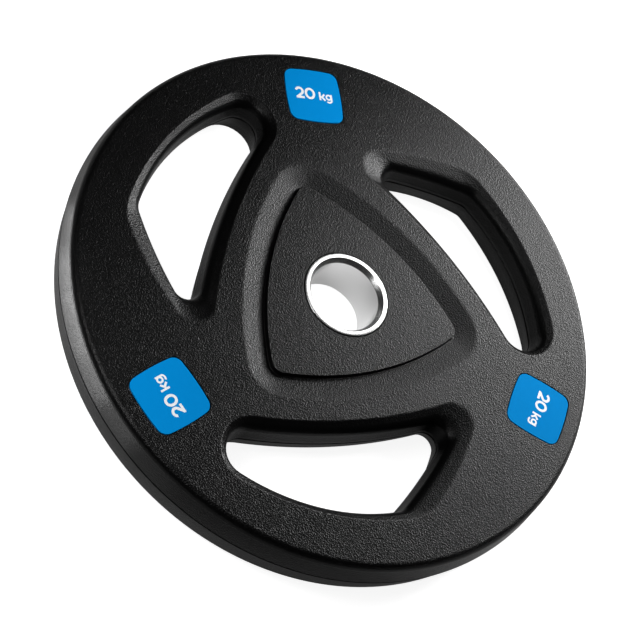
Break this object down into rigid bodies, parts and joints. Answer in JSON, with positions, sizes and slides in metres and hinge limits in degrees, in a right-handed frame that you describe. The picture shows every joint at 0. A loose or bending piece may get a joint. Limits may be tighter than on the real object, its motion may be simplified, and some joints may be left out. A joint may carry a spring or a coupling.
{
  "type": "weight plate",
  "caption": "Round rubber coated weight plate with rounded grip openings, a raised triangular hub, a steel sleeved bore and flush label inlays.",
  "frame": {"origin": "centre of the bore on the back face's plane, which the plate rests on when it lies down", "axes": "+Z along the bore axis towards the front face, +Y towards the first label inlay"},
  "size_m": [0.396, 0.396, 0.0406],
  "materials": {
    "rubber": "black moulded rubber with a fine leather grain, smoother on the rounded edges",
    "iron": "rough sand casting, hidden under the rubber",
    "steel": "satin turned steel",
    "label": "smooth blue satin inlay"
  },
  "bodies": {
    "root": {"rubber_coat": "rubber", "iron_core": "iron", "bore_sleeve": "steel", "label_inlay_1": "label", "label_inlay_2": "label", "label_inlay_3": "label"}
  },
  "joints": []
}
